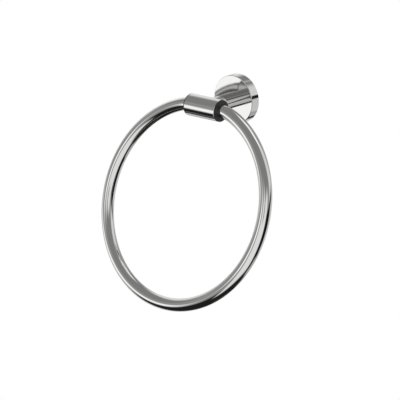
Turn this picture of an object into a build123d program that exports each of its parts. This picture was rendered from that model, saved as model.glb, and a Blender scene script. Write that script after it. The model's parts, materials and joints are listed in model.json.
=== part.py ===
"""Towel ring that swings in two bushes, carried by a post on a round wall rosette.

Millimetres, +Z up, +Y into the wall. The origin is the middle of the rosette on the face of the wall.
"""

import os
from math import asin, cos, degrees, radians, sin, sqrt

from build123d import *

# Ring
ring_outer_diameter = 200.0
tube_diameter = 12.0
tube_wall = 1.0
ring_lean = 20.0  # degrees that the ring's lower side stands out from the wall
ring_engagement = 8.0  # length of tube inside each bush
end_straight = 0.5  # length of straight tube between each bush and the bend beside it
end_bend_radius = 30.0  # of the tube's middle, where each end turns into line with the sleeve

# Bushes
flange_thickness = 0.7
flange_edge_radius = 0.3
bush_wall = 2.15  # between the tube and the sleeve
bush_floor = 1.5
bush_lead_in = 0.4
ring_seat_clearance = 0.05
bush_running_clearance = 0.05
bush_end_play = 0.1

# Holder: the post and its cross sleeve
axis_standoff = 48.7  # from the wall to the sleeve's axis
sleeve_length = 36.4
sleeve_wall = 2.0
sleeve_edge = 0.25
post_diameter = 14.5
post_root_radius = 0.8

# Rosette
rosette_diameter = 46.6
rosette_depth = 10.0
rosette_face = 2.5
rosette_rim = 2.4
rosette_edge_radius = 0.5
rosette_corner_radius = 0.8

# Screw that holds the post on the rosette, with its washer and the flatted spigot that stops it turning
screw_diameter = 6.0
screw_engagement = 9.0  # length of thread inside the post
screw_tip_room = 2.0
screw_head_diameter = 10.0
screw_head_height = 3.2
screw_socket = 4.0  # across flats
screw_socket_depth = 2.0
screw_edge = 0.4
thread_clearance = 0.05
washer_diameter = 11.0
washer_thickness = 1.4
washer_split = 0.8
washer_clearance = 0.2
spigot_wall = 2.2
spigot_flat_depth = 1.0
spigot_short = 0.3  # the spigot ends this far below the rosette's inner face
spigot_clearance = 0.1

# Wall bracket
bracket_clearance = 0.25  # between its rim and the rosette
bracket_headroom = 0.7  # between its front edge and the rosette's inner face
bracket_plate = 2.6
bracket_rim = 2.8
bracket_edge = 0.4
head_clearance = 0.8  # between the washer and the bracket's middle hole
wall_hole_diameter = 4.6
wall_countersink_diameter = 8.2
wall_hole_land = 0.5  # between a countersink and the bracket's rim
countersink_angle = 90.0

# Grub screw in the rosette's underside, with the groove that its cone point bears in
grub_diameter = 4.0
grub_height = 3.4  # from the wall to the screw's axis
grub_tip_diameter = 0.8
grub_socket = 2.0  # across flats
grub_socket_depth = 1.2
grub_recess = 0.3  # below the rosette's surface
grub_tip_clearance = 0.05
groove_depth = 1.1

# Places that follow from the sizes above
tube_radius = tube_diameter / 2
ring_radius = ring_outer_diameter / 2 - tube_radius
bush_face = sleeve_length / 2 + bush_end_play + flange_thickness
ring_end = bush_face - ring_engagement
bend_start = bush_face + end_straight
bend_reach = ring_radius - end_bend_radius  # between the middle of the ring and the middle of a bend
bend_angle = degrees(asin(bend_start / bend_reach))
ring_drop = end_bend_radius + sqrt(bend_reach**2 - bend_start**2)
pocket_radius = tube_radius + ring_seat_clearance
pocket_end = ring_end - ring_seat_clearance
bush_radius = pocket_radius + bush_wall
bush_inner_end = pocket_end - bush_floor
bore_radius = bush_radius + bush_running_clearance
sleeve_radius = bore_radius + sleeve_wall
post_radius = post_diameter / 2
rosette_radius = rosette_diameter / 2
rosette_inner_radius = rosette_radius - rosette_rim
rosette_inner_depth = rosette_depth - rosette_face
spigot_radius = screw_diameter / 2 + spigot_wall
spigot_flats = 2 * (spigot_radius - spigot_flat_depth)
screw_hole_radius = screw_diameter / 2 + thread_clearance
screw_tip = rosette_depth + screw_engagement
screw_head_seat = rosette_inner_depth - washer_thickness
bracket_radius = rosette_inner_radius - bracket_clearance
bracket_height = rosette_inner_depth - bracket_headroom
dish_radius = bracket_radius - bracket_rim
bracket_hole_radius = washer_diameter / 2 + head_clearance
wall_hole_spacing = 2 * (dish_radius - wall_hole_land) - wall_countersink_diameter
groove_bottom_half = grub_tip_diameter / 2 + grub_tip_clearance
groove_mouth_half = groove_bottom_half + groove_depth
groove_radius = bracket_radius - groove_depth
grub_tip_radius = groove_radius + grub_tip_clearance
grub_end_radius = rosette_radius - grub_recess
grub_cone_height = (grub_diameter - grub_tip_diameter) / 2

# The ring's own plane leans out of the vertical about the sleeve's axis; its +Y points up the ring
lean = radians(ring_lean)
hinge = Plane(origin=(0, -axis_standoff, 0), x_dir=(1, 0, 0), z_dir=(0, -cos(lean), sin(lean)))

wall_plane = Plane.XZ  # faces out of the wall, with +Y up
sleeve_plane = Plane(origin=(0, -axis_standoff, 0), x_dir=(0, 1, 0), z_dir=(1, 0, 0))
grub_axis = Axis((0, -grub_height, 0), (0, 0, 1))

os.makedirs("parts", exist_ok=True)

# Ring: a tube bent round, with a short straight end on each side that lies in line with the sleeve
with BuildPart() as ring:
    with BuildLine(hinge):
        Line((ring_end, 0), (bend_start, 0))
        CenterArc((bend_start, -end_bend_radius), end_bend_radius, 90, -bend_angle)
        CenterArc((0, -ring_drop), ring_radius, 90 - bend_angle, 2 * bend_angle - 360)
        CenterArc((-bend_start, -end_bend_radius), end_bend_radius, 90 + bend_angle, -bend_angle)
        Line((-bend_start, 0), (-ring_end, 0))
    with BuildSketch(sleeve_plane.offset(ring_end)):
        Circle(tube_radius)
        Circle(tube_radius - tube_wall, mode=Mode.SUBTRACT)
    sweep()

# Right-hand bush: a flanged plug with a blind pocket that the ring's end sits in
with BuildPart() as right_bush:
    with BuildSketch(sleeve_plane.offset(bush_inner_end)):
        Circle(bush_radius)
    extrude(amount=bush_face - bush_inner_end)
    chamfer(right_bush.edges().group_by(Axis.X)[0], length=bush_lead_in)
    with BuildSketch(sleeve_plane.offset(bush_face)):
        Circle(sleeve_radius)
    extrude(amount=-flange_thickness)
    fillet(right_bush.edges().group_by(Axis.X)[-1], radius=flange_edge_radius)
    with BuildSketch(sleeve_plane.offset(bush_face)):
        Circle(pocket_radius)
    extrude(amount=pocket_end - bush_face, mode=Mode.SUBTRACT)

# Left-hand bush: the same plug the other way round
with BuildPart() as left_bush:
    mirror(right_bush.part, about=Plane.YZ)

# Holder: the sleeve and the post that carries it, with the spigot and the tapped hole in the post's foot
with BuildPart() as holder:
    with BuildSketch(sleeve_plane):
        Circle(sleeve_radius)
    extrude(amount=sleeve_length / 2, both=True)
    with BuildSketch(wall_plane.offset(rosette_depth)):
        Circle(post_radius)
    extrude(amount=axis_standoff - rosette_depth)
    fillet(holder.edges(Select.NEW), radius=post_root_radius)
    with BuildSketch(sleeve_plane):
        Circle(bore_radius)
    extrude(amount=sleeve_length / 2, both=True, mode=Mode.SUBTRACT)
    sleeve_ends = holder.faces().filter_by(Axis.X)
    chamfer(sleeve_ends.edges(), length=sleeve_edge)
    with BuildSketch(wall_plane.offset(rosette_depth)):
        Circle(spigot_radius)
        Rectangle(2 * spigot_radius, spigot_flats, mode=Mode.INTERSECT)
    extrude(amount=spigot_short - rosette_face)
    with BuildSketch(wall_plane.offset(rosette_inner_depth)):
        Circle(screw_hole_radius)
    extrude(amount=rosette_face + screw_engagement + screw_tip_room, mode=Mode.SUBTRACT)

# Rosette: a cup with its mouth on the wall, a flatted hole for the spigot and a hole below for the grub screw
with BuildPart() as rosette:
    with BuildSketch(wall_plane):
        Circle(rosette_radius)
    extrude(amount=rosette_depth)
    fillet(rosette.edges().group_by(Axis.Y)[0], radius=rosette_edge_radius)
    with BuildSketch(wall_plane):
        Circle(rosette_inner_radius)
    extrude(amount=rosette_inner_depth, mode=Mode.SUBTRACT)
    cup_corner = rosette.edges(Select.LAST).group_by(Axis.Y)[0]
    fillet(cup_corner, radius=rosette_corner_radius)
    with BuildSketch(wall_plane.offset(rosette_inner_depth)):
        Circle(spigot_radius + spigot_clearance)
        Rectangle(
            2 * (spigot_radius + spigot_clearance),
            spigot_flats + 2 * spigot_clearance,
            mode=Mode.INTERSECT,
        )
    extrude(amount=rosette_face, mode=Mode.SUBTRACT)
    with BuildSketch(Plane.XY):
        with Locations((0, -grub_height)):
            Circle(grub_diameter / 2 + thread_clearance)
    extrude(amount=-rosette_radius, mode=Mode.SUBTRACT)

# Screw and split washer between the rosette and the post
with BuildPart() as post_screw:
    with BuildSketch(wall_plane.offset(screw_head_seat - screw_head_height)):
        Circle(screw_head_diameter / 2)
    extrude(amount=screw_head_height)
    fillet(post_screw.edges().group_by(Axis.Y)[-1], radius=screw_edge)
    with BuildSketch(wall_plane.offset(screw_head_seat)):
        Circle(screw_diameter / 2)
    extrude(amount=screw_tip - screw_head_seat)
    chamfer(post_screw.edges().group_by(Axis.Y)[0], length=screw_edge)
    with BuildSketch(wall_plane.offset(screw_head_seat - screw_head_height)):
        RegularPolygon(screw_socket / 2, 6, major_radius=False)
    extrude(amount=screw_socket_depth, mode=Mode.SUBTRACT)

with BuildPart() as lock_washer:
    with BuildSketch(wall_plane.offset(screw_head_seat)):
        Circle(washer_diameter / 2)
        Circle(screw_diameter / 2 + washer_clearance, mode=Mode.SUBTRACT)
        with Locations((0, washer_diameter / 2)):
            Rectangle(washer_split, washer_diameter, mode=Mode.SUBTRACT)
    extrude(amount=washer_thickness)

# Wall bracket: a dish with two countersunk holes and a groove round its rim
with BuildPart() as wall_bracket:
    with BuildSketch(Plane.XY):
        with BuildLine():
            Polyline(
                (bracket_hole_radius, 0),
                (bracket_radius, 0),
                (bracket_radius, groove_mouth_half - grub_height),
                (groove_radius, groove_bottom_half - grub_height),
                (groove_radius, -groove_bottom_half - grub_height),
                (bracket_radius, -groove_mouth_half - grub_height),
                (bracket_radius, -bracket_height),
                (dish_radius, -bracket_height),
                (dish_radius, -bracket_plate),
                (bracket_hole_radius, -bracket_plate),
                close=True,
            )
        make_face()
    revolve(axis=Axis.Y)
    chamfer(wall_bracket.edges().group_by(Axis.Y)[0], length=bracket_edge)
    with Locations(wall_plane.offset(bracket_plate)):
        with GridLocations(wall_hole_spacing, 0, 2, 1):
            CounterSinkHole(
                wall_hole_diameter / 2,
                wall_countersink_diameter / 2,
                depth=bracket_plate,
                counter_sink_angle=countersink_angle,
            )

# Grub screw: a headless screw with a cone point, driven from below
with BuildPart() as grub_screw:
    with BuildSketch(wall_plane.offset(grub_height)):
        with BuildLine():
            Polyline(
                (0, -grub_tip_radius),
                (grub_tip_diameter / 2, -grub_tip_radius),
                (grub_diameter / 2, -grub_tip_radius - grub_cone_height),
                (grub_diameter / 2, -grub_end_radius),
                (0, -grub_end_radius),
                close=True,
            )
        make_face()
    revolve(axis=grub_axis)
    with BuildSketch(Plane.XY.offset(-grub_end_radius)):
        with Locations((0, -grub_height)):
            RegularPolygon(grub_socket / 2, 6, major_radius=False)
    extrude(amount=grub_socket_depth, mode=Mode.SUBTRACT)

ring.part.label = "ring"
right_bush.part.label = "right_bush"
left_bush.part.label = "left_bush"
holder.part.label = "holder"
rosette.part.label = "rosette"
post_screw.part.label = "post_screw"
lock_washer.part.label = "lock_washer"
wall_bracket.part.label = "wall_bracket"
grub_screw.part.label = "grub_screw"

export_step(ring.part, "parts/ring.step")
export_step(right_bush.part, "parts/right_bush.step")
export_step(left_bush.part, "parts/left_bush.step")
export_step(holder.part, "parts/holder.step")
export_step(rosette.part, "parts/rosette.step")
export_step(post_screw.part, "parts/post_screw.step")
export_step(lock_washer.part, "parts/lock_washer.step")
export_step(wall_bracket.part, "parts/wall_bracket.step")
export_step(grub_screw.part, "parts/grub_screw.step")
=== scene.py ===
"""Towel ring: polished meshes, plated fixings and a plain studio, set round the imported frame."""

import json
from functools import partial
from math import asin, atan2, cos, pi, radians, sin, sqrt, tau

import bmesh
import bpy
from bpy.props import FloatProperty, FloatVectorProperty, PointerProperty
from bpy.types import Operator, Panel, PropertyGroup
from mathutils import Matrix, Vector


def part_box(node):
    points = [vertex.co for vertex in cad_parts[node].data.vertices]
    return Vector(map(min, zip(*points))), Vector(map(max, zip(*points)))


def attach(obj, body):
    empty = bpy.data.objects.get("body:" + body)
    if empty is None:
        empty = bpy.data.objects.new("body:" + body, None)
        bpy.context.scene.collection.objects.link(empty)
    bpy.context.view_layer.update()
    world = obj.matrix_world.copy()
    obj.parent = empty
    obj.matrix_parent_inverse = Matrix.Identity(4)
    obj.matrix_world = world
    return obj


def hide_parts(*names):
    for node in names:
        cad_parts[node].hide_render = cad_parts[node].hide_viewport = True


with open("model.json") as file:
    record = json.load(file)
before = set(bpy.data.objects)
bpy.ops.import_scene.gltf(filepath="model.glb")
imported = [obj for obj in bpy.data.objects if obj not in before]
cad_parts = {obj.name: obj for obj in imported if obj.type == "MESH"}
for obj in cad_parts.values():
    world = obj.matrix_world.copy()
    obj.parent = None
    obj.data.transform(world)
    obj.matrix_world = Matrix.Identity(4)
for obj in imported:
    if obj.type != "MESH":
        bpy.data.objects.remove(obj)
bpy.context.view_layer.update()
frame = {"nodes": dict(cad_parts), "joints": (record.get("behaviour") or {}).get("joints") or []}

bl_info = {
    "name": "Towel Ring",
    "version": (1, 0, 0),
    "blender": (4, 5, 0),
    "location": "3D View > Sidebar > Towel Ring",
    "description": "Dresses a wall-mounted towel ring in chrome, with black bushes and plated fixings",
    "category": "Object",
}

# Places read from the frame, in metres
HINGE = Vector(frame["joints"][0]["pos_m"])
RING_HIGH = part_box("ring")[1]
HOLDER_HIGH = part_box("holder")[1]
SLEEVE_RADIUS = HOLDER_HIGH.z - HINGE.z
BUSH_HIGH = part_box("right_bush")[1]
ROSETTE_LOW, ROSETTE_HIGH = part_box("rosette")
POST_SCREW_LOW, POST_SCREW_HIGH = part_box("post_screw")
GRUB_LOW, GRUB_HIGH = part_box("grub_screw")

# How finely the meshes are divided
ARC_STEPS = 360
TUBE_SIDES = 64
SLEEVE_COLUMNS = 96
ROSETTE_COLUMNS = 160
FILLET_STEPS = 8
QUARTER = [pi / 2 * k / FILLET_STEPS for k in range(FILLET_STEPS + 1)]  # angles along a rounding
FLOOR_SIDES = 96
SHARP_ANGLE = radians(30)
MERGE_DISTANCE = 1e-7


class TowelRingSizes(PropertyGroup):
    """Sizes of the polished pieces that the frame's boxes don't give"""

    tube_diameter: FloatProperty(
        name="Tube Diameter",
        description="Outside diameter of the ring's tube",
        default=0.012,
        unit="LENGTH",
    )
    tube_wall: FloatProperty(
        name="Tube Wall",
        description="Wall thickness of the ring's tube",
        default=0.001,
        unit="LENGTH",
    )
    ring_lean: FloatProperty(
        name="Ring Lean",
        description="Angle at which the ring's lower side stands out from the wall",
        default=radians(20),
        subtype="ANGLE",
    )
    ring_engagement: FloatProperty(
        name="Ring Engagement",
        description="Length of tube inside each bush",
        default=0.008,
        unit="LENGTH",
    )
    end_straight: FloatProperty(
        name="End Straight",
        description="Length of straight tube between each bush and the bend beside it",
        default=0.0005,
        unit="LENGTH",
    )
    end_bend_radius: FloatProperty(
        name="End Bend Radius",
        description="Radius of the bend that turns each end of the tube into line with the sleeve",
        default=0.03,
        unit="LENGTH",
    )
    sleeve_wall: FloatProperty(
        name="Sleeve Wall",
        description="Wall thickness of the cross sleeve",
        default=0.002,
        unit="LENGTH",
    )
    sleeve_edge: FloatProperty(
        name="Sleeve Edge",
        description="Chamfer on the ends of the sleeve",
        default=0.00025,
        unit="LENGTH",
    )
    post_diameter: FloatProperty(
        name="Post Diameter",
        description="Diameter of the post between the rosette and the sleeve",
        default=0.0145,
        unit="LENGTH",
    )
    post_root_radius: FloatProperty(
        name="Post Root Radius",
        description="Radius of the fillet where the post meets the sleeve",
        default=0.0008,
        unit="LENGTH",
    )
    spigot_diameter: FloatProperty(
        name="Spigot Diameter",
        description="Diameter of the flatted spigot on the post's foot",
        default=0.0104,
        unit="LENGTH",
    )
    spigot_flat_depth: FloatProperty(
        name="Spigot Flat Depth",
        description="Depth of each of the spigot's two flats",
        default=0.001,
        unit="LENGTH",
    )
    spigot_clearance: FloatProperty(
        name="Spigot Clearance",
        description="Room between the spigot and the rosette's hole",
        default=0.0001,
        unit="LENGTH",
    )
    screw_hole_diameter: FloatProperty(
        name="Screw Hole Diameter",
        description="Diameter of the tapped hole in the post's foot",
        default=0.0061,
        unit="LENGTH",
    )
    screw_hole_reach: FloatProperty(
        name="Screw Hole Reach",
        description="Distance from the wall to the bottom of the tapped hole",
        default=0.021,
        unit="LENGTH",
    )
    rosette_face: FloatProperty(
        name="Rosette Face",
        description="Thickness of the rosette's front",
        default=0.0025,
        unit="LENGTH",
    )
    rosette_rim: FloatProperty(
        name="Rosette Rim",
        description="Thickness of the rosette's rim",
        default=0.0024,
        unit="LENGTH",
    )
    rosette_edge_radius: FloatProperty(
        name="Rosette Edge Radius",
        description="Rounding of the rosette's front edge",
        default=0.0005,
        unit="LENGTH",
    )
    rosette_corner_radius: FloatProperty(
        name="Rosette Corner Radius",
        description="Rounding of the corner inside the rosette",
        default=0.0008,
        unit="LENGTH",
    )
    grub_hole_diameter: FloatProperty(
        name="Grub Hole Diameter",
        description="Diameter of the hole for the grub screw in the rosette's underside",
        default=0.0041,
        unit="LENGTH",
    )
    grub_height: FloatProperty(
        name="Grub Height",
        description="Distance from the wall to the grub screw's axis",
        default=0.0034,
        unit="LENGTH",
    )


class TowelRingScrews(PropertyGroup):
    """Sizes of the two screws that the frame's boxes don't give"""

    post_diameter: FloatProperty(
        name="Post Screw Diameter",
        description="Thread diameter of the screw that holds the post",
        default=0.006,
        unit="LENGTH",
    )
    post_pitch: FloatProperty(
        name="Post Screw Pitch",
        description="Thread pitch of the screw that holds the post",
        default=0.001,
        unit="LENGTH",
    )
    post_edge: FloatProperty(
        name="Post Screw Edge",
        description="Rounding of the head's rim and chamfer on the tip",
        default=0.0004,
        unit="LENGTH",
    )
    post_head_height: FloatProperty(
        name="Post Screw Head Height",
        description="Height of the head of the screw that holds the post",
        default=0.0032,
        unit="LENGTH",
    )
    post_socket: FloatProperty(
        name="Post Screw Socket",
        description="Width of the hexagon socket across its flats",
        default=0.004,
        unit="LENGTH",
    )
    post_socket_depth: FloatProperty(
        name="Post Screw Socket Depth",
        description="Depth of the hexagon socket",
        default=0.002,
        unit="LENGTH",
    )
    grub_diameter: FloatProperty(
        name="Grub Screw Diameter",
        description="Thread diameter of the grub screw",
        default=0.004,
        unit="LENGTH",
    )
    grub_pitch: FloatProperty(
        name="Grub Screw Pitch",
        description="Thread pitch of the grub screw",
        default=0.0007,
        unit="LENGTH",
    )
    grub_edge: FloatProperty(
        name="Grub Screw Edge",
        description="Chamfer on the driven end of the grub screw",
        default=0.0002,
        unit="LENGTH",
    )
    grub_tip_diameter: FloatProperty(
        name="Grub Screw Tip Diameter",
        description="Diameter of the flat on the cone point",
        default=0.0008,
        unit="LENGTH",
    )
    grub_socket: FloatProperty(
        name="Grub Screw Socket",
        description="Width of the hexagon socket across its flats",
        default=0.002,
        unit="LENGTH",
    )
    grub_socket_depth: FloatProperty(
        name="Grub Screw Socket Depth",
        description="Depth of the hexagon socket",
        default=0.0012,
        unit="LENGTH",
    )


class TowelRingFinish(PropertyGroup):
    """Colours and gloss of the finishes"""

    chrome_colour: FloatVectorProperty(
        name="Chrome Colour",
        description="Reflectance of the polished chrome",
        default=(0.603, 0.6, 0.594),
        subtype="COLOR",
    )
    chrome_roughness: FloatProperty(
        name="Chrome Roughness",
        description="Average roughness of the chrome on the ring and the holder",
        default=0.05,
        subtype="FACTOR",
    )
    rosette_roughness: FloatProperty(
        name="Rosette Roughness",
        description="Average roughness of the chrome on the rosette, which is polished less finely",
        default=0.08,
        subtype="FACTOR",
    )
    bush_colour: FloatVectorProperty(
        name="Bush Colour",
        description="Colour of the moulded bushes",
        default=(0.014, 0.014, 0.0145),
        subtype="COLOR",
    )
    bush_roughness: FloatProperty(
        name="Bush Roughness",
        description="Average roughness of the moulded bushes",
        default=0.5,
        subtype="FACTOR",
    )
    zinc_colour: FloatVectorProperty(
        name="Zinc Colour",
        description="Colour of the bracket's zinc plating",
        default=(0.60, 0.61, 0.62),
        subtype="COLOR",
    )
    steel_colour: FloatVectorProperty(
        name="Steel Colour",
        description="Colour of the screws and the washer",
        default=(0.42, 0.42, 0.43),
        subtype="COLOR",
    )


class TowelRingStudio(PropertyGroup):
    """Camera and light of the studio"""

    camera_azimuth: FloatProperty(
        name="Camera Azimuth",
        description="Angle of the camera to the right of the wall's square",
        default=radians(41.23),
        subtype="ANGLE",
    )
    camera_elevation: FloatProperty(
        name="Camera Elevation",
        description="Angle of the camera above the horizon",
        default=radians(17.88),
        subtype="ANGLE",
    )
    camera_distance: FloatProperty(
        name="Camera Distance",
        description="Distance from the camera to the middle of the ring",
        default=1.516,
        unit="LENGTH",
    )
    aim: FloatVectorProperty(
        name="Aim",
        description="Point near the middle of the ring that the camera is set out from",
        default=(0.0, -0.0487, -0.092),
        subtype="TRANSLATION",
    )
    lens: FloatProperty(
        name="Lens",
        description="Focal length on a sensor 36 mm wide",
        default=145.06,
        unit="CAMERA",
    )
    shift_x: FloatProperty(
        name="Shift X",
        description="Sideways lens shift as a share of the frame",
        default=-0.0145,
    )
    shift_y: FloatProperty(
        name="Shift Y",
        description="Upward lens shift as a share of the frame",
        default=0.0061,
    )
    floor_drop: FloatProperty(
        name="Floor Drop",
        description="Height of the rosette over the floor",
        default=1.5,
        unit="LENGTH",
    )
    floor_colour: FloatVectorProperty(
        name="Floor Colour",
        description="Colour of the pale floor",
        default=(0.86, 0.86, 0.85),
        subtype="COLOR",
    )
    fill_level: FloatProperty(
        name="Fill Level",
        description="Soft light from all round on surfaces that aren't mirrors",
        default=0.6,
    )
    key_power: FloatProperty(
        name="Key Power",
        description="Power of the soft overhead lamp",
        default=16.0,
        unit="POWER",
    )


# Meshes and node trees

def full_turn(count):
    """Angles of a full turn in equal steps."""
    return [tau * k / count for k in range(count)]


def placed(x_axis, y_axis, z_axis, origin):
    """Matrix that turns X, Y and Z to three directions and moves the origin to a point."""
    place = Matrix((x_axis, y_axis, z_axis)).transposed().to_4x4()
    place.translation = origin
    return place


def skin(bm, loops, closed=False, skip=()):
    """Join each loop of points to the next with quads; skip holds the (row, column) cells left open."""
    rows = [[bm.verts.new(point) for point in loop] for loop in loops]
    if closed:
        rows.append(rows[0])
    for row, (near, far) in enumerate(zip(rows, rows[1:])):
        for column in range(len(near)):
            if (row, column) in skip:
                continue
            after = (column + 1) % len(near)
            bm.faces.new((near[column], near[after], far[after], far[column]))
    return rows


def mesh_of(bm, name):
    """Weld the surface, turn its faces outwards and shade it smooth between its sharp edges."""
    bmesh.ops.remove_doubles(bm, verts=bm.verts, dist=MERGE_DISTANCE)
    bmesh.ops.recalc_face_normals(bm, faces=bm.faces)
    mesh = bpy.data.meshes.new(name)
    bm.to_mesh(mesh)
    bm.free()
    mesh.shade_smooth()
    mesh.set_sharp_from_angle(angle=SHARP_ANGLE)
    return mesh


def new_object(name, data):
    """Put a new object with its data into the scene."""
    thing = bpy.data.objects.new(name, data)
    bpy.context.scene.collection.objects.link(thing)
    return thing


def stand_in(name, mesh, body, node, material):
    """Link a mesh as a piece that rides on a body and stands for a node of the frame."""
    mesh.materials.clear()
    mesh.materials.append(material)
    piece = new_object(name, mesh)
    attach(piece, body)
    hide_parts(node)
    return piece


def patch_outline(half_u, half_v, steps):
    """Points round a rectangle, with the same number of steps along each side."""
    side = [2 * k / steps - 1 for k in range(steps)]
    lower = [(s, -1) for s in side]
    right = [(1, s) for s in side]
    upper = [(-s, 1) for s in side]
    left = [(-1, -s) for s in side]
    return [(u * half_u, v * half_v) for u, v in lower + right + upper + left]


def patch_rows(half, steps):
    """Places of the rows across a patch, from one side of its middle to the other."""
    return [half * (2 * k / steps - 1) for k in range(steps + 1)]


def patch_cells(first_row, steps, columns):
    """Cells of a patch centred on column nought, which a skin leaves open."""
    half = steps // 2
    return {(first_row + row, column % columns) for row in range(steps) for column in range(-half, half)}


def flatted(angle, radius, half_flats):
    """Reach of a round outline with flats above and below, at an angle from +X towards +Z."""
    rise = abs(sin(angle))
    return radius if radius * rise <= half_flats else half_flats / rise


def calculate(tree, operation, *values):
    """Add a maths node that works on sockets or plain numbers, and return its result."""
    node = tree.nodes.new("ShaderNodeMath")
    node.operation = operation
    for socket, value in zip(node.inputs, values):
        if isinstance(value, bpy.types.NodeSocket):
            tree.links.new(value, socket)
        else:
            socket.default_value = value
    return node.outputs["Value"]


# Ring

def tube_tree():
    """Geometry nodes for an open ring of tube, flat in XY, whose ends bend into line."""
    tree = bpy.data.node_groups.new("bent_tube", "GeometryNodeTree")
    radii = ("Ring Radius", "Tube Radius", "Bore Radius", "Bend Radius")
    places = ("Bend Start", "Bend End", "End Height", "Start Angle", "Sweep Angle")
    inputs = {
        "NodeSocketFloat": (*radii, *places),
        "NodeSocketInt": ("Arc Steps", "Tube Sides"),
        "NodeSocketMaterial": ("Finish",),
    }
    for kind, names in inputs.items():
        for name in names:
            tree.interface.new_socket(name, in_out="INPUT", socket_type=kind)
    tree.interface.new_socket("Geometry", in_out="OUTPUT", socket_type="NodeSocketGeometry")
    new = tree.nodes.new
    link = tree.links.new
    maths = partial(calculate, tree)
    sizes = new("NodeGroupInput").outputs

    arc = new("GeometryNodeCurveArc")
    arc.mode = "RADIUS"
    link(sizes["Arc Steps"], arc.inputs["Resolution"])
    link(sizes["Ring Radius"], arc.inputs["Radius"])
    link(sizes["Start Angle"], arc.inputs["Start Angle"])
    link(sizes["Sweep Angle"], arc.inputs["Sweep Angle"])

    place = new("ShaderNodeSeparateXYZ")
    link(new("GeometryNodeInputPosition").outputs["Position"], place.inputs["Vector"])
    aside = maths("ABSOLUTE", place.outputs["X"])
    close_in = maths("LESS_THAN", aside, sizes["Bend End"])
    near_end = maths("MULTIPLY", close_in, maths("GREATER_THAN", place.outputs["Y"], 0))
    into_bend = maths("MAXIMUM", maths("SUBTRACT", aside, sizes["Bend Start"]), 0)
    squares = maths("SUBTRACT", maths("POWER", sizes["Bend Radius"], 2), maths("POWER", into_bend, 2))
    bend_middle = maths("SUBTRACT", sizes["End Height"], sizes["Bend Radius"])
    bent = new("ShaderNodeCombineXYZ")
    link(place.outputs["X"], bent.inputs["X"])
    link(maths("ADD", bend_middle, maths("SQRT", squares)), bent.inputs["Y"])
    path = new("GeometryNodeSetPosition")
    link(arc.outputs["Curve"], path.inputs["Geometry"])
    link(near_end, path.inputs["Selection"])
    link(bent.outputs["Vector"], path.inputs["Position"])

    both = new("GeometryNodeJoinGeometry")
    section = new("GeometryNodeJoinGeometry")
    for radius in ("Tube Radius", "Bore Radius"):
        circle = new("GeometryNodeCurvePrimitiveCircle")
        link(sizes["Tube Sides"], circle.inputs["Resolution"])
        link(sizes[radius], circle.inputs["Radius"])
        link(circle.outputs["Curve"], section.inputs["Geometry"])
        wall = new("GeometryNodeCurveToMesh")
        link(path.outputs["Geometry"], wall.inputs["Curve"])
        link(circle.outputs["Curve"], wall.inputs["Profile Curve"])
        link(wall.outputs["Mesh"], both.inputs["Geometry"])

    rim = new("GeometryNodeFillCurve")
    rim.mode = "TRIANGLES"
    link(section.outputs["Geometry"], rim.inputs["Curve"])
    ends = new("GeometryNodeCurveEndpointSelection")
    along = new("FunctionNodeAlignRotationToVector")
    along.axis = "Z"
    link(new("GeometryNodeInputTangent").outputs["Tangent"], along.inputs["Vector"])
    across = new("FunctionNodeAlignRotationToVector")
    across.axis = "X"
    across.pivot_axis = "Z"
    link(along.outputs["Rotation"], across.inputs["Rotation"])
    link(new("GeometryNodeInputNormal").outputs["Normal"], across.inputs["Vector"])
    rims = new("GeometryNodeInstanceOnPoints")
    link(path.outputs["Geometry"], rims.inputs["Points"])
    link(ends.outputs["Selection"], rims.inputs["Selection"])
    link(rim.outputs["Mesh"], rims.inputs["Instance"])
    link(across.outputs["Rotation"], rims.inputs["Rotation"])
    link(rims.outputs["Instances"], both.inputs["Geometry"])

    realize = new("GeometryNodeRealizeInstances")
    link(both.outputs["Geometry"], realize.inputs["Geometry"])
    finish = new("GeometryNodeSetMaterial")
    link(realize.outputs["Geometry"], finish.inputs["Geometry"])
    link(sizes["Finish"], finish.inputs["Material"])
    link(finish.outputs["Geometry"], new("NodeGroupOutput").inputs["Geometry"])
    return tree


def baked(tree, values, name):
    """Run a geometry tree on its own with the named values and return the result as a bmesh."""
    carrier = new_object(name, bpy.data.meshes.new(name))
    modifier = carrier.modifiers.new(name, "NODES")
    modifier.node_group = tree
    for socket in tree.interface.items_tree:
        if socket.in_out == "INPUT":
            modifier[socket.identifier] = values[socket.name]
    evaluated = carrier.evaluated_get(bpy.context.evaluated_depsgraph_get())
    result = bpy.data.meshes.new_from_object(evaluated)
    bm = bmesh.new()
    bm.from_mesh(result)
    bpy.data.objects.remove(carrier)
    bpy.data.meshes.remove(result)
    return bm


def ring_place(lean, drop):
    """Turn and move from the ring's own plane to its place in the frame, below the hinge by its drop."""
    up = Vector((0, sin(lean), cos(lean)))
    front = Vector((0, -cos(lean), sin(lean)))
    return placed((1, 0, 0), up, front, HINGE - drop * up)


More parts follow.
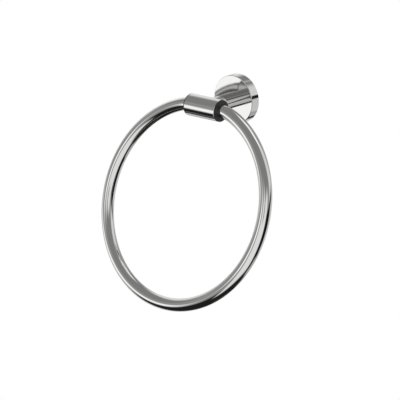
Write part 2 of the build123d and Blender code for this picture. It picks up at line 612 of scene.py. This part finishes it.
def build_ring(sizes, finish):
    """Tube bent to the ring's circle, with both ends turned into line with the sleeve."""
    tube_radius = sizes.tube_diameter / 2
    ring_radius = RING_HIGH.x - tube_radius
    bend_radius = sizes.end_bend_radius
    bend_start = BUSH_HIGH.x + sizes.end_straight
    bend_reach = ring_radius - bend_radius
    drop = bend_radius + sqrt(bend_reach**2 - bend_start**2)
    end_angle = asin((BUSH_HIGH.x - sizes.ring_engagement) / ring_radius)
    chrome = chrome_material("polished_chrome", finish.chrome_colour, finish.chrome_roughness)
    values = {
        "Ring Radius": ring_radius,
        "Tube Radius": tube_radius,
        "Bore Radius": tube_radius - sizes.tube_wall,
        "Start Angle": pi / 2 + end_angle,
        "Sweep Angle": tau - 2 * end_angle,
        "Bend Radius": bend_radius,
        "Bend Start": bend_start,
        "Bend End": bend_start * ring_radius / bend_reach,
        "End Height": drop,
        "Arc Steps": ARC_STEPS,
        "Tube Sides": TUBE_SIDES,
        "Finish": chrome,
    }
    bm = baked(tube_tree(), values, "bent_tube")
    bmesh.ops.transform(bm, matrix=ring_place(sizes.ring_lean, drop), verts=bm.verts)
    mesh = mesh_of(bm, "polished_ring")
    return stand_in("polished_ring", mesh, "swinging_ring", "ring", chrome)


# Holder

PATCH_HALF_LENGTH = 0.012  # along the sleeve, of the patch that the post grows out of
PATCH_STEPS = 32
PATCH_SHARES = (0, 0.35, 0.65, 0.85, 0.97)  # rows from the patch's outline to the fillet
POST_SHARES = (0.02, 0.35, 0.7)  # rows from the fillet to the post's foot


def build_holder(sizes, finish):
    """Sleeve with a through bore, and a post that grows out of its back over a rolled fillet."""
    bm = bmesh.new()
    skin(bm, sleeve_loops(sizes), closed=True, skip=patch_cells(1, PATCH_STEPS, SLEEVE_COLUMNS))
    half_angle = pi * PATCH_STEPS / SLEEVE_COLUMNS
    outline = patch_outline(PATCH_HALF_LENGTH, half_angle, PATCH_STEPS)
    angles = [atan2(v / half_angle, u / PATCH_HALF_LENGTH) for u, v in outline]
    root = [[root_fillet(a, k / FILLET_STEPS, sizes) for a in angles] for k in range(FILLET_STEPS + 1)]
    rows = skin(bm, patch_loops(outline, root[0]) + root + post_loops(root[-1], angles, sizes))
    bm.faces.new(rows[-1])
    mesh = mesh_of(bm, "polished_holder")
    chrome = chrome_material("polished_chrome", finish.chrome_colour, finish.chrome_roughness)
    return stand_in("polished_holder", mesh, "wall_holder", "holder", chrome)


def on_sleeve(x, angle, radius):
    """Point at a place along the sleeve, at an angle upwards from the wall's side and a radius."""
    return Vector((x, HINGE.y + radius * cos(angle), HINGE.z + radius * sin(angle)))


def sleeve_loops(sizes):
    """Loops along the sleeve's outside, over its right end, back through the bore, over its left end."""
    end = HOLDER_HIGH.x
    radius = SLEEVE_RADIUS
    bore = radius - sizes.sleeve_wall
    edge = sizes.sleeve_edge
    stations = [(-end + edge, radius)]
    stations += [(x, radius) for x in patch_rows(PATCH_HALF_LENGTH, PATCH_STEPS)]
    stations += [
        (end - edge, radius),
        (end, radius - edge),
        (end, bore + edge),
        (end - edge, bore),
        (-end + edge, bore),
        (-end, bore + edge),
        (-end, radius - edge),
    ]
    return [[on_sleeve(x, a, r) for a in full_turn(SLEEVE_COLUMNS)] for x, r in stations]


def patch_loops(outline, fillet_edge):
    """Loops on the sleeve from the patch's outline in to the fillet's edge."""
    loops = []
    for share in PATCH_SHARES:
        loop = []
        for (u, v), edge in zip(outline, fillet_edge):
            turn = atan2(edge.z - HINGE.z, edge.y - HINGE.y)
            loop.append(on_sleeve(u + (edge.x - u) * share, v + (turn - v) * share, SLEEVE_RADIUS))
        loops.append(loop)
    return loops


def root_fillet(angle, share, sizes):
    """Point of the rolled fillet between sleeve and post: share 0 lies on the sleeve, 1 on the post."""
    radius = sizes.post_root_radius
    reach = sizes.post_diameter / 2 + radius
    lift = SLEEVE_RADIUS + radius
    x, z = reach * cos(angle), reach * sin(angle)
    ball = Vector((x, HINGE.y + sqrt(lift**2 - z**2), z))
    to_sleeve = (Vector((x, HINGE.y, HINGE.z)) - ball).normalized()
    to_post = Vector((-cos(angle), 0, -sin(angle)))
    return ball + radius * to_sleeve.slerp(to_post, share)


def post_loops(root_edge, angles, sizes):
    """Loops down the post from the fillet's edge to its foot, round the spigot and into the screw hole."""
    foot = ROSETTE_LOW.y
    spigot_end = HOLDER_HIGH.y
    post_radius = sizes.post_diameter / 2
    spigot_radius = sizes.spigot_diameter / 2
    half_flats = spigot_radius - sizes.spigot_flat_depth
    hole_radius = sizes.screw_hole_diameter / 2

    def ring(y, reach):
        return [Vector((reach(a) * cos(a), y, reach(a) * sin(a))) for a in angles]

    def spigot(angle):
        return flatted(angle, spigot_radius, half_flats)

    foot_loop = ring(foot, lambda a: post_radius)
    loops = [[p.lerp(q, share) for p, q in zip(root_edge, foot_loop)] for share in POST_SHARES]
    loops.append(foot_loop)
    loops.append(ring(foot, spigot))
    loops.append(ring(spigot_end, spigot))
    loops.append(ring(spigot_end, lambda a: hole_radius))
    loops.append(ring(-sizes.screw_hole_reach, lambda a: hole_radius))
    return loops


# Rosette

GRUB_PATCH_STEPS = 8
GRUB_PATCH_HALF_HEIGHT = 0.0026
GRUB_PATCH_SHARES = (0, 0.4, 0.75, 1)  # rows from the patch's outline to the hole's edge
SUPPORT = 0.00003  # width of the narrow rows that keep flat faces flat beside a rounding


def build_rosette(sizes, finish):
    """Cup with rounded edges, a flatted hole for the spigot and a round hole for the grub screw."""
    radius = ROSETTE_HIGH.x
    inner_radius = radius - sizes.rosette_rim
    front = ROSETTE_LOW.y
    inner_front = front + sizes.rosette_face
    rounding = sizes.rosette_edge_radius
    corner = sizes.rosette_corner_radius
    hole_radius = sizes.spigot_diameter / 2 + sizes.spigot_clearance
    half_flats = hole_radius - sizes.spigot_flat_depth
    columns = full_turn(ROSETTE_COLUMNS)

    def hole(y):
        return [on_rosette(t, y, flatted(t - pi / 2, hole_radius, half_flats)) for t in columns]

    def ring(y, reach):
        return [on_rosette(t, y, reach) for t in columns]

    grub_rows = [y - sizes.grub_height for y in patch_rows(GRUB_PATCH_HALF_HEIGHT, GRUB_PATCH_STEPS)]
    loops = [hole(front), ring(front, radius - rounding - SUPPORT)]
    for q in QUARTER:
        loops.append(ring(front + rounding * (1 - cos(q)), radius - rounding * (1 - sin(q))))
    loops.append(ring(front + rounding + SUPPORT, radius))
    opening = patch_cells(len(loops), GRUB_PATCH_STEPS, ROSETTE_COLUMNS)
    loops += [ring(y, radius) for y in grub_rows]
    loops += [ring(0, radius), ring(0, inner_radius)]
    opening |= patch_cells(len(loops), GRUB_PATCH_STEPS, ROSETTE_COLUMNS)
    loops += [ring(y, inner_radius) for y in reversed(grub_rows)]
    loops.append(ring(inner_front + corner + SUPPORT, inner_radius))
    for q in QUARTER:
        loops.append(ring(inner_front + corner * (1 - sin(q)), inner_radius - corner * (1 - cos(q))))
    loops += [ring(inner_front, inner_radius - corner - SUPPORT), hole(inner_front)]

    bm = bmesh.new()
    skin(bm, loops, closed=True, skip=opening)
    skin(bm, grub_hole_loops(radius, inner_radius, sizes))
    mesh = mesh_of(bm, "polished_rosette")
    chrome = chrome_material("rosette_chrome", finish.chrome_colour, finish.rosette_roughness)
    return stand_in("polished_rosette", mesh, "wall_holder", "rosette", chrome)


def on_rosette(turn, y, reach):
    """Point at a turn from straight down, at a place out from the wall and a reach from the axis."""
    return Vector((reach * sin(turn), y, -reach * cos(turn)))


def grub_hole_loops(outer_radius, inner_radius, sizes):
    """Loops from the patch on the rim's outside, through the grub screw's hole, to the patch inside."""
    half_turn = pi * GRUB_PATCH_STEPS / ROSETTE_COLUMNS
    outline = patch_outline(half_turn, GRUB_PATCH_HALF_HEIGHT, GRUB_PATCH_STEPS)
    hole_radius = sizes.grub_hole_diameter / 2

    def loop(reach, share):
        points = []
        for u, v in outline:
            angle = atan2(v / GRUB_PATCH_HALF_HEIGHT, u / half_turn)
            turn = asin(hole_radius * cos(angle) / reach)
            rise = hole_radius * sin(angle)
            y = v + (rise - v) * share - sizes.grub_height
            points.append(on_rosette(u + (turn - u) * share, y, reach))
        return points

    outside = [loop(outer_radius, share) for share in GRUB_PATCH_SHARES]
    inside = [loop(inner_radius, share) for share in reversed(GRUB_PATCH_SHARES)]
    return outside + inside


# Screws

SCREW_COLUMNS = 36
ROWS_PER_TURN = SCREW_COLUMNS  # so that the thread's crest meets a corner of the mesh in every column
THREAD_DEPTH = 0.61  # of a metric thread, as a share of its pitch
THREAD_STEEPNESS = 1.25  # of the flanks, which leaves a small flat on each crest and root


def hexagon(angle, half_flats):
    """Reach of a hexagon's outline at an angle from the middle of one of its sides."""
    return half_flats / cos((angle + pi / 6) % (pi / 3) - pi / 6)


def thread_cut(turns):
    """Depth of the thread, nought on the crest and one at the root, at a number of turns along it."""
    ramp = abs(2 * (turns % 1) - 1)
    return min(max(THREAD_STEEPNESS * (ramp - 0.5) + 0.5, 0), 1)


def screw_mesh(name, place, thread, tip, head, socket):
    """Mesh of a screw with its tip at the origin of its place and its head along +Z.

    thread is its diameter, pitch and end. tip is the radius of the tip's flat and the height at which
    the full diameter starts. head holds the (height, radius) rows after the thread. socket is the
    hexagon's width across its flats and its depth.
    """
    diameter, pitch, thread_end = thread
    flat_radius, full_height = tip
    radius = diameter / 2
    angles = full_turn(SCREW_COLUMNS)

    def loop(height, reach):
        return [place @ Vector((reach(a) * cos(a), reach(a) * sin(a), height)) for a in angles]

    def thread_reach(height):
        blank = min(flat_radius + (radius - flat_radius) * height / full_height, radius)
        depth = THREAD_DEPTH * pitch * min((thread_end - height) / pitch, 1)
        return lambda a: min(blank, radius - depth * thread_cut(height / pitch - a / tau))

    rows = round(thread_end / pitch * ROWS_PER_TURN)
    loops = [loop(thread_end * k / rows, thread_reach(thread_end * k / rows)) for k in range(rows + 1)]
    loops += [loop(height, lambda a: reach) for height, reach in head]
    top = head[-1][0]
    flats, depth = socket
    loops += [loop(height, lambda a: hexagon(a, flats / 2)) for height in (top, top - depth)]
    bm = bmesh.new()
    skinned = skin(bm, loops)
    bm.faces.new(skinned[0])
    bm.faces.new(skinned[-1])
    return mesh_of(bm, name)


def build_post_screw(screws, steel):
    """Socket head screw that holds the post, with its head towards the wall."""
    edge = screws.post_edge
    length = POST_SCREW_HIGH.y - POST_SCREW_LOW.y
    seat = length - screws.post_head_height
    head_radius = POST_SCREW_HIGH.x
    head = [(seat, head_radius)]
    head += [(length - edge * (1 - sin(q)), head_radius - edge * (1 - cos(q))) for q in QUARTER]
    thread = (screws.post_diameter, screws.post_pitch, seat)
    tip = (screws.post_diameter / 2 - edge, edge)
    socket = (screws.post_socket, screws.post_socket_depth)
    place = placed((1, 0, 0), (0, 0, -1), (0, 1, 0), (0, POST_SCREW_LOW.y, 0))
    mesh = screw_mesh("threaded_post_screw", place, thread, tip, head, socket)
    return stand_in("threaded_post_screw", mesh, "wall_holder", "post_screw", steel)


def build_grub_screw(screws, from_wall, steel):
    """Headless screw with a cone point, upright at a distance from the wall, with its socket downwards."""
    edge = screws.grub_edge
    length = GRUB_HIGH.z - GRUB_LOW.z
    radius = screws.grub_diameter / 2
    flat_radius = screws.grub_tip_diameter / 2
    head = [(length, radius - edge)]
    thread = (screws.grub_diameter, screws.grub_pitch, length - edge)
    tip = (flat_radius, radius - flat_radius)
    socket = (screws.grub_socket, screws.grub_socket_depth)
    place = placed((1, 0, 0), (0, -1, 0), (0, 0, -1), (0, -from_wall, GRUB_HIGH.z))
    mesh = screw_mesh("threaded_grub_screw", place, thread, tip, head, socket)
    return stand_in("threaded_grub_screw", mesh, "wall_holder", "grub_screw", steel)


# Finishes, with their grain in grains to the metre and its relief in metres

NOISE_SPAN = (0.3, 0.7)  # between which most of a noise's values lie
CHROME_CLOUDS = 140
CHROME_GLOSS = (0.8, 1.2)  # low and high end, as shares of the average roughness
BUSH_GRAIN = 2600
BUSH_GLOSS = (0.85, 1.15)
BUSH_RELIEF = 0.0001
ZINC_CRYSTALS = 700
ZINC_BLOOM = 160
ZINC_TONES = (0.7, 1.15)  # of the dullest and the brightest crystals, as shares of the plating's colour
ZINC_ROUGHNESS = (0.22, 0.42)
ZINC_RELIEF = 0.0001
STEEL_GRAIN = 1800
STEEL_ROUGHNESS = (0.28, 0.4)
STEEL_RELIEF = 0.00005


def new_finish(name, colour, metallic=0):
    """A material, its shader, a function that adds a node with its inputs set, and one that links two."""
    material = bpy.data.materials.new(name)
    material.use_nodes = True
    tree = material.node_tree
    shader = tree.nodes["Principled BSDF"]
    shader.inputs["Base Color"].default_value = (*colour, 1)
    shader.inputs["Metallic"].default_value = metallic

    def add(kind, **values):
        node = tree.nodes.new(kind)
        for key, value in values.items():
            node.inputs[key].default_value = value
        return node

    return material, shader, add, tree.links.new


def grain(add, link, scale, detail):
    """Noise on the piece's own coordinates, with a scale in grains to the metre."""
    noise = add("ShaderNodeTexNoise", Scale=scale, Detail=detail)
    link(add("ShaderNodeTexCoord").outputs["Object"], noise.inputs["Vector"])
    return noise.outputs["Fac"]


def spread(add, link, value, ends):
    """Spread a noise value from its usual span to a low and a high end."""
    span = add("ShaderNodeMapRange")
    span.inputs["From Min"].default_value, span.inputs["From Max"].default_value = NOISE_SPAN
    span.inputs["To Min"].default_value, span.inputs["To Max"].default_value = ends
    link(value, span.inputs["Value"])
    return span.outputs["Result"]


def bumped(add, link, shader, height, strength, distance):
    """Raise the surface by a height value, as seen in its shading."""
    bump = add("ShaderNodeBump", Strength=strength, Distance=distance)
    link(height, bump.inputs["Height"])
    link(bump.outputs["Normal"], shader.inputs["Normal"])


def chrome_material(name, colour, roughness):
    """Polished chrome plating: a mirror with a faint, cloudy change in its gloss."""
    if name in bpy.data.materials:
        return bpy.data.materials[name]
    material, shader, add, link = new_finish(name, colour, metallic=1)
    clouds = grain(add, link, CHROME_CLOUDS, detail=5)
    gloss = [roughness * share for share in CHROME_GLOSS]
    link(spread(add, link, clouds, gloss), shader.inputs["Roughness"])
    return material


def bush_material(finish):
    """Black moulded plastic with a fine matt grain."""
    material, shader, add, link = new_finish("moulded_black", finish.bush_colour)
    grains = grain(add, link, BUSH_GRAIN, detail=3)
    gloss = [finish.bush_roughness * share for share in BUSH_GLOSS]
    link(spread(add, link, grains, gloss), shader.inputs["Roughness"])
    bumped(add, link, shader, grains, strength=0.35, distance=BUSH_RELIEF)
    return material


def zinc_material(finish):
    """Zinc plating: small crystals that catch the light differently, under a cloudy bloom."""
    material, shader, add, link = new_finish("zinc_plating", finish.zinc_colour, metallic=1)
    crystals = add("ShaderNodeTexVoronoi", Scale=ZINC_CRYSTALS)
    link(add("ShaderNodeTexCoord").outputs["Object"], crystals.inputs["Vector"])
    crystal = add("ShaderNodeSeparateColor")
    link(crystals.outputs["Color"], crystal.inputs["Color"])
    bloom = grain(add, link, ZINC_BLOOM, detail=5)
    tone = add("ShaderNodeMix", Factor=0.5)
    link(spread(add, link, bloom, (0, 1)), tone.inputs["A"])
    link(crystal.outputs["Red"], tone.inputs["B"])
    colour = add("ShaderNodeMix")
    colour.data_type = "RGBA"
    for end, share in zip("AB", ZINC_TONES):
        colour.inputs[end].default_value = (*(share * c for c in finish.zinc_colour), 1)
    link(tone.outputs["Result"], colour.inputs["Factor"])
    link(colour.outputs["Result"], shader.inputs["Base Color"])
    link(spread(add, link, bloom, ZINC_ROUGHNESS), shader.inputs["Roughness"])
    bumped(add, link, shader, crystal.outputs["Green"], strength=0.12, distance=ZINC_RELIEF)
    return material


def steel_material(finish):
    """Plain steel with a fine turned grain."""
    name = "screw_steel_finish"
    if name in bpy.data.materials:
        return bpy.data.materials[name]
    material, shader, add, link = new_finish(name, finish.steel_colour, metallic=1)
    grains = grain(add, link, STEEL_GRAIN, detail=3)
    link(spread(add, link, grains, STEEL_ROUGHNESS), shader.inputs["Roughness"])
    bumped(add, link, shader, grains, strength=0.12, distance=STEEL_RELIEF)
    return material


def repaint(material, *nodes):
    """Give nodes of the frame a better finish in place of their plain one."""
    for node in nodes:
        frame["nodes"][node].material_slots[0].material = material


# Studio

# Soft panels that the mirrors see round the object, over the white background, each over those before it.
# Each has its azimuth from the front to the right, elevation, half width, half height and softness of the
# edges, all in degrees, and its brightness.
STUDIO_PANELS = (
    ("ceiling", 0, 60, 180, 40, 10, 0.32),
    ("walls", 0, -5, 180, 30, 10, 0.4),
    ("floor", 0, -65, 180, 30, 5, 0.02),
    ("wall_behind", 180, -20, 45, 18, 3, 0.85),
    ("low_wall_right", 148, -46, 33, 8, 3, 0.6),
    ("right_panel", 135, 30, 25, 30, 10, 1.0),
    ("overhead_softbox", 165, 65, 40, 10, 10, 1.7),
    ("left_window", -120, -5, 25, 45, 10, 1.1),
    ("left_window_blind", -130, -20, 15, 20, 5, 0.2),
    ("front_window", 40, -5, 37, 38, 8, 1.15),
    ("front_window_bar", 33, 28, 5, 12, 4, 0.15),
    ("low_shade", -33, -35, 35, 15, 5, 0.02),
    ("low_softbox", -55, -10, 23, 12, 8, 1.5),
    ("eye_level_softbox", -22, 12, 8, 8, 4, 1.7),
    ("doorway", 105, -15, 25, 25, 3, 0.01),
    ("dark_shelf", 138, 4, 12, 5, 1, 0.01),
)
PANEL_ANGLES = ("Centre Azimuth", "Centre Elevation", "Half Width", "Half Height", "Softness")
BACKGROUND = 1.0
FLOOR_GRAIN = 6
FLOOR_ROUGHNESS = (0.7, 0.85)
FLOOR_RADIUS = 8.0
FLOOR_PATCH_RADIUS = 0.6  # of the part of the floor that shows its own colour and the shadow
FLOOR_WHITE_RADIUS = 2.2  # beyond which the floor is as white as the background
FLOOR_PATCH_WHITE = 0.4  # share of the white background in that part of the floor
LAMP_DISTANCE = 2.0
LAMP_SIZE = 1.4
LAMP_TOWARDS = Vector((0.5, -0.6, 1.6))


def panel_group():
    """Shader group that lays one soft-edged panel over the light so far."""
    tree = bpy.data.node_groups.new("soft_panel", "ShaderNodeTree")
    for name in ("Azimuth", "Elevation", *PANEL_ANGLES, "Brightness", "Light So Far"):
        tree.interface.new_socket(name, in_out="INPUT", socket_type="NodeSocketFloat")
    tree.interface.new_socket("Light", in_out="OUTPUT", socket_type="NodeSocketFloat")
    new = tree.nodes.new
    link = tree.links.new
    maths = partial(calculate, tree)
    given = new("NodeGroupInput").outputs

    def cover(offset, half):
        """One inside the panel, falling softly to nought outside it."""
        fall = new("ShaderNodeMapRange")
        fall.interpolation_type = "SMOOTHSTEP"
        link(maths("ABSOLUTE", offset), fall.inputs["Value"])
        link(maths("SUBTRACT", half, given["Softness"]), fall.inputs["From Min"])
        link(maths("ADD", half, given["Softness"]), fall.inputs["From Max"])
        fall.inputs["To Min"].default_value = 1
        fall.inputs["To Max"].default_value = 0
        return fall.outputs["Result"]

    across = maths("WRAP", maths("SUBTRACT", given["Azimuth"], given["Centre Azimuth"]), pi, -pi)
    above = maths("SUBTRACT", given["Elevation"], given["Centre Elevation"])
    wide = cover(across, given["Half Width"])
    high = cover(above, given["Half Height"])
    mix = new("ShaderNodeMix")
    link(maths("MULTIPLY", wide, high), mix.inputs["Factor"])
    link(given["Light So Far"], mix.inputs["A"])
    link(given["Brightness"], mix.inputs["B"])
    link(mix.outputs["Result"], new("NodeGroupOutput").inputs["Light"])
    return tree


def build_world(studio):
    """White to the camera, a studio of soft panels to mirrors, and an even fill to all else."""
    world = bpy.data.worlds.new("studio")
    world.use_nodes = True
    world.cycles.sampling_method = "NONE"
    bpy.context.scene.world = world
    tree = world.node_tree
    tree.nodes.clear()
    new = tree.nodes.new
    link = tree.links.new
    maths = partial(calculate, tree)

    look = new("ShaderNodeSeparateXYZ")
    link(new("ShaderNodeTexCoord").outputs["Generated"], look.inputs["Vector"])
    azimuth = maths("ARCTAN2", look.outputs["X"], maths("MULTIPLY", look.outputs["Y"], -1))
    elevation = maths("ARCSINE", look.outputs["Z"])
    group = panel_group()
    light = None
    for name, *angles, brightness in STUDIO_PANELS:
        panel = new("ShaderNodeGroup")
        panel.name = name
        panel.node_tree = group
        link(azimuth, panel.inputs["Azimuth"])
        link(elevation, panel.inputs["Elevation"])
        for socket, angle in zip(PANEL_ANGLES, angles):
            panel.inputs[socket].default_value = radians(angle)
        panel.inputs["Brightness"].default_value = brightness
        panel.inputs["Light So Far"].default_value = BACKGROUND
        if light:
            link(light, panel.inputs["Light So Far"])
        light = panel.outputs["Light"]

    path = new("ShaderNodeLightPath")
    mirrored = maths("MAXIMUM", path.outputs["Is Glossy Ray"], path.outputs["Is Transmission Ray"])
    seen = new("ShaderNodeMix")
    seen.inputs["A"].default_value = studio.fill_level
    link(mirrored, seen.inputs["Factor"])
    link(light, seen.inputs["B"])
    shown = new("ShaderNodeMix")
    shown.inputs["B"].default_value = BACKGROUND
    link(path.outputs["Is Camera Ray"], shown.inputs["Factor"])
    link(seen.outputs["Result"], shown.inputs["A"])
    background = new("ShaderNodeBackground")
    link(shown.outputs["Result"], background.inputs["Color"])
    link(background.outputs["Background"], new("ShaderNodeOutputWorld").inputs["Surface"])


def floor_material(studio):
    """Pale and matt below the object, going over into the white background with distance."""
    material, shader, add, link = new_finish("pale_floor", studio.floor_colour)
    grains = grain(add, link, FLOOR_GRAIN, detail=4)
    link(spread(add, link, grains, FLOOR_ROUGHNESS), shader.inputs["Roughness"])
    away = add("ShaderNodeVectorMath")
    away.operation = "DISTANCE"
    link(add("ShaderNodeTexCoord").outputs["Object"], away.inputs[0])
    away.inputs[1].default_value = (0, 0, -studio.floor_drop)
    fade = add("ShaderNodeMapRange")
    fade.interpolation_type = "SMOOTHSTEP"
    fade.inputs["From Min"].default_value = FLOOR_PATCH_RADIUS
    fade.inputs["From Max"].default_value = FLOOR_WHITE_RADIUS
    fade.inputs["To Min"].default_value = FLOOR_PATCH_WHITE
    link(away.outputs["Value"], fade.inputs["Value"])
    to_camera = add("ShaderNodeLightPath").outputs["Is Camera Ray"]
    white = add("ShaderNodeEmission", Strength=BACKGROUND)
    mix = add("ShaderNodeMixShader")
    link(calculate(material.node_tree, "MULTIPLY", to_camera, fade.outputs["Result"]), mix.inputs["Fac"])
    link(shader.outputs["BSDF"], mix.inputs[1])
    link(white.outputs["Emission"], mix.inputs[2])
    link(mix.outputs["Shader"], material.node_tree.nodes["Material Output"].inputs["Surface"])
    return material


def build_floor(studio):
    """A round floor below the ring, which keeps its shadow and stays out of the mirrors."""
    bm = bmesh.new()
    bmesh.ops.create_circle(bm, cap_ends=True, radius=FLOOR_RADIUS, segments=FLOOR_SIDES)
    bmesh.ops.translate(bm, vec=(0, 0, -studio.floor_drop), verts=bm.verts)
    mesh = mesh_of(bm, "floor")
    mesh.materials.append(floor_material(studio))
    floor = new_object("floor", mesh)
    floor.visible_glossy = False


def build_lamp(studio):
    """One large soft lamp overhead; the mirrors see the studio's panels in its place."""
    lamp = bpy.data.lights.new("key_lamp", "AREA")
    lamp.energy = studio.key_power
    lamp.size = LAMP_SIZE
    key = new_object("key_lamp", lamp)
    towards = LAMP_TOWARDS.normalized()
    key.location = Vector(studio.aim) + towards * LAMP_DISTANCE
    key.rotation_euler = (-towards).to_track_quat("-Z", "Y").to_euler()
    key.visible_glossy = False


def build_camera(studio):
    """Camera at the photograph's viewing angle."""
    lens = bpy.data.cameras.new("camera")
    lens.lens = studio.lens
    lens.shift_x = studio.shift_x
    lens.shift_y = studio.shift_y
    camera = new_object("camera", lens)
    azimuth, elevation = studio.camera_azimuth, studio.camera_elevation
    back = Vector((sin(azimuth) * cos(elevation), -cos(azimuth) * cos(elevation), sin(elevation)))
    camera.location = Vector(studio.aim) + back * studio.camera_distance
    camera.rotation_euler = (-back).to_track_quat("-Z", "Y").to_euler()
    bpy.context.scene.camera = camera


# Operators, one for each piece or group of like pieces and one for the stage

class TOWELRING_OT_ring(Operator):
    """Bend the polished tube round to the bushes"""

    bl_idname = "towel_ring.ring"
    bl_label = "Ring"

    def execute(self, context):
        scene = context.scene
        build_ring(scene.towel_ring_sizes, scene.towel_ring_finish)
        return {"FINISHED"}


class TOWELRING_OT_holder(Operator):
    """Make the polished post and cross sleeve in one"""

    bl_idname = "towel_ring.holder"
    bl_label = "Holder"

    def execute(self, context):
        scene = context.scene
        build_holder(scene.towel_ring_sizes, scene.towel_ring_finish)
        return {"FINISHED"}


class TOWELRING_OT_rosette(Operator):
    """Make the polished rosette with its spigot hole and grub screw hole"""

    bl_idname = "towel_ring.rosette"
    bl_label = "Rosette"

    def execute(self, context):
        scene = context.scene
        build_rosette(scene.towel_ring_sizes, scene.towel_ring_finish)
        return {"FINISHED"}


class TOWELRING_OT_bushes(Operator):
    """Finish both bushes in black moulded plastic"""

    bl_idname = "towel_ring.bushes"
    bl_label = "Bushes"

    def execute(self, context):
        repaint(bush_material(context.scene.towel_ring_finish), "left_bush", "right_bush")
        return {"FINISHED"}


class TOWELRING_OT_screws(Operator):
    """Make the post screw and the grub screw with their threads and sockets"""

    bl_idname = "towel_ring.screws"
    bl_label = "Screws"

    def execute(self, context):
        scene = context.scene
        steel = steel_material(scene.towel_ring_finish)
        build_post_screw(scene.towel_ring_screws, steel)
        build_grub_screw(scene.towel_ring_screws, scene.towel_ring_sizes.grub_height, steel)
        return {"FINISHED"}


class TOWELRING_OT_bracket(Operator):
    """Finish the plated bracket and the steel washer"""

    bl_idname = "towel_ring.bracket"
    bl_label = "Bracket and Washer"

    def execute(self, context):
        finish = context.scene.towel_ring_finish
        repaint(zinc_material(finish), "wall_bracket")
        repaint(steel_material(finish), "lock_washer")
        return {"FINISHED"}


class TOWELRING_OT_stage(Operator):
    """Set up the floor, the light and the camera"""

    bl_idname = "towel_ring.stage"
    bl_label = "Stage"

    def execute(self, context):
        studio = context.scene.towel_ring_studio
        context.scene.view_settings.view_transform = "Standard"
        build_world(studio)
        build_floor(studio)
        build_lamp(studio)
        build_camera(studio)
        return {"FINISHED"}


class TOWELRING_PT_panel(Panel):
    """Lists the steps that dress the towel ring"""

    bl_idname = "TOWELRING_PT_panel"
    bl_label = "Towel Ring"
    bl_space_type = "VIEW_3D"
    bl_region_type = "UI"
    bl_category = "Towel Ring"

    def draw(self, context):
        for operator in OPERATORS:
            self.layout.operator(operator.bl_idname)


OPERATORS = (
    TOWELRING_OT_ring,
    TOWELRING_OT_holder,
    TOWELRING_OT_rosette,
    TOWELRING_OT_bushes,
    TOWELRING_OT_screws,
    TOWELRING_OT_bracket,
    TOWELRING_OT_stage,
)
GROUPS = (TowelRingSizes, TowelRingScrews, TowelRingFinish, TowelRingStudio)
CLASSES = (*GROUPS, *OPERATORS, TOWELRING_PT_panel)


def register():
    for cls in CLASSES:
        bpy.utils.register_class(cls)
    bpy.types.Scene.towel_ring_sizes = PointerProperty(type=TowelRingSizes)
    bpy.types.Scene.towel_ring_screws = PointerProperty(type=TowelRingScrews)
    bpy.types.Scene.towel_ring_finish = PointerProperty(type=TowelRingFinish)
    bpy.types.Scene.towel_ring_studio = PointerProperty(type=TowelRingStudio)


def unregister():
    del bpy.types.Scene.towel_ring_studio
    del bpy.types.Scene.towel_ring_finish
    del bpy.types.Scene.towel_ring_screws
    del bpy.types.Scene.towel_ring_sizes
    for cls in reversed(CLASSES):
        bpy.utils.unregister_class(cls)


def main():
    register()
    bpy.ops.towel_ring.ring()
    bpy.ops.towel_ring.holder()
    bpy.ops.towel_ring.rosette()
    bpy.ops.towel_ring.bushes()
    bpy.ops.towel_ring.screws()
    bpy.ops.towel_ring.bracket()
    bpy.ops.towel_ring.stage()


if __name__ == "__main__":
    main()
